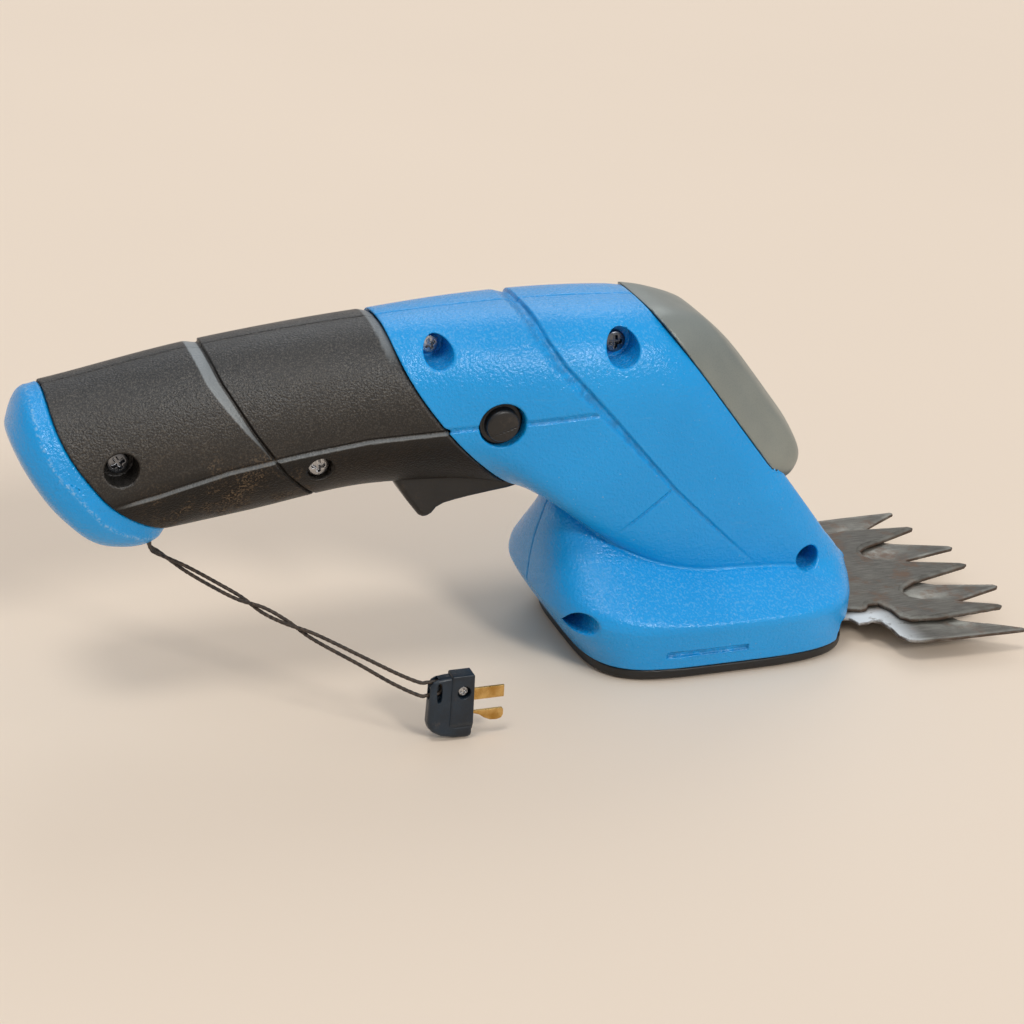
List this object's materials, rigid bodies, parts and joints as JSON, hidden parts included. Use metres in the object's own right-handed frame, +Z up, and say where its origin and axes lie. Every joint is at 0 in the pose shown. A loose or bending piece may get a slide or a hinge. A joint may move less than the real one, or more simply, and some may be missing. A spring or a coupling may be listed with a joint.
{
  "type": "cordless grass shears",
  "caption": "Hand-held cordless grass shears with a blue head, black grip, toothed blades under a flat sole, trigger, lock button and a safety key on a cord.",
  "frame": {"origin": "middle of the sole's flat underside, on the floor", "axes": "+X towards the blades, +Z up, -Y is the side with the lock button and the screws"},
  "size_m": [0.2769, 0.09, 0.0988],
  "materials": {
    "body_blue": "satin, fine grain",
    "grip_black": "coarse grain, dusty",
    "black_plastic": "satin",
    "cover_grey": "satin metallic",
    "gear_white": "satin",
    "steel": "plated",
    "blade_steel": "weathered",
    "brass": "dull",
    "cell_wrap": "shrink wrap",
    "wire_red": "satin",
    "wire_black": "satin",
    "cord": "waxed twine"
  },
  "bodies": {
    "housing": {"right_head_shell": "body_blue", "left_head_shell": "body_blue", "right_grip_shell": "grip_black", "left_grip_shell": "grip_black", "end_cap": "body_blue", "nose_cover": "cover_grey", "sole_plate": "black_plastic", "sole_screws": "steel", "head_screws": "steel", "grip_screws": "steel", "gear_base": "steel", "gear_posts": "steel", "motor_plate": "steel", "plate_screws": "steel", "motor_can": "steel", "motor_end_bell": "black_plastic", "idler_axle": "steel", "lower_blade": "blade_steel", "blade_pivot": "steel", "blade_spacers": "steel", "blade_screws": "steel", "trigger_pin": "steel", "trigger_spring": "steel", "switch_body": "black_plastic", "lock_spring": "steel", "battery_cells": "cell_wrap", "cell_straps": "steel", "battery_wires": "wire_red", "motor_wires": "wire_black", "key_socket": "black_plastic", "socket_contacts": "brass", "key_body": "black_plastic", "key_prongs": "brass", "key_screw": "steel", "lanyard_cord": "cord"},
    "trigger": {"trigger": "black_plastic"},
    "plunger": {"switch_plunger": "gear_white"},
    "lock": {"lock_button": "black_plastic"},
    "cam": {"cam_gear": "gear_white"},
    "idler": {"idler_gear": "gear_white"},
    "rotor": {"motor_rotor": "steel", "motor_pinion": "brass"},
    "cutter": {"upper_blade": "blade_steel"}
  },
  "joints": [
    {"name": "trigger_pull", "type": "hinge", "parent": "housing", "child": "trigger", "pos_m": [-0.05, 0, 0.055], "axis": [0, 1, 0], "range_deg": [0, 7], "stiffness_Nm_per_rad": 0.4, "springref_deg": -8.59},
    {"name": "plunger_slide", "type": "slide", "parent": "housing", "child": "plunger", "axis": [0, 0, 1], "range_m": [0, 0.0034], "deforming": ["trigger_spring"]},
    {"name": "lock_push", "type": "slide", "parent": "housing", "child": "lock", "axis": [0, 1, 0], "range_m": [0, 0.003], "stiffness_N_per_m": 400, "springref_m": -0.001, "deforming": ["lock_spring"]},
    {"name": "cam_spin", "type": "hinge", "parent": "housing", "child": "cam", "pos_m": [0.008, 0, 0.014], "axis": [0, 0, 1], "range_deg": [-90, 90]},
    {"name": "idler_spin", "type": "hinge", "parent": "housing", "child": "idler", "pos_m": [-0.00776, 0.01096, 0.018], "axis": [0, 0, 1], "range_deg": [-271, 271]},
    {"name": "rotor_spin", "type": "hinge", "parent": "housing", "child": "rotor", "pos_m": [-0.018, 0, 0.04], "axis": [0, 0, 1], "range_deg": [-1081, 1081]},
    {"name": "blade_swing", "type": "hinge", "parent": "housing", "child": "cutter", "pos_m": [0.032, 0, 0.0071], "axis": [0, 0, 1], "range_deg": [-9.6, 9.6]}
  ],
  "couplings": [
    {"joint": "plunger_slide", "follows": "trigger_pull", "m_per_rad": 0.027},
    {"joint": "idler_spin", "follows": "cam_spin", "ratio": -3},
    {"joint": "rotor_spin", "follows": "cam_spin", "ratio": 12},
    {"joint": "blade_swing", "follows": "cam_spin", "ratio": 0.10513}
  ]
}
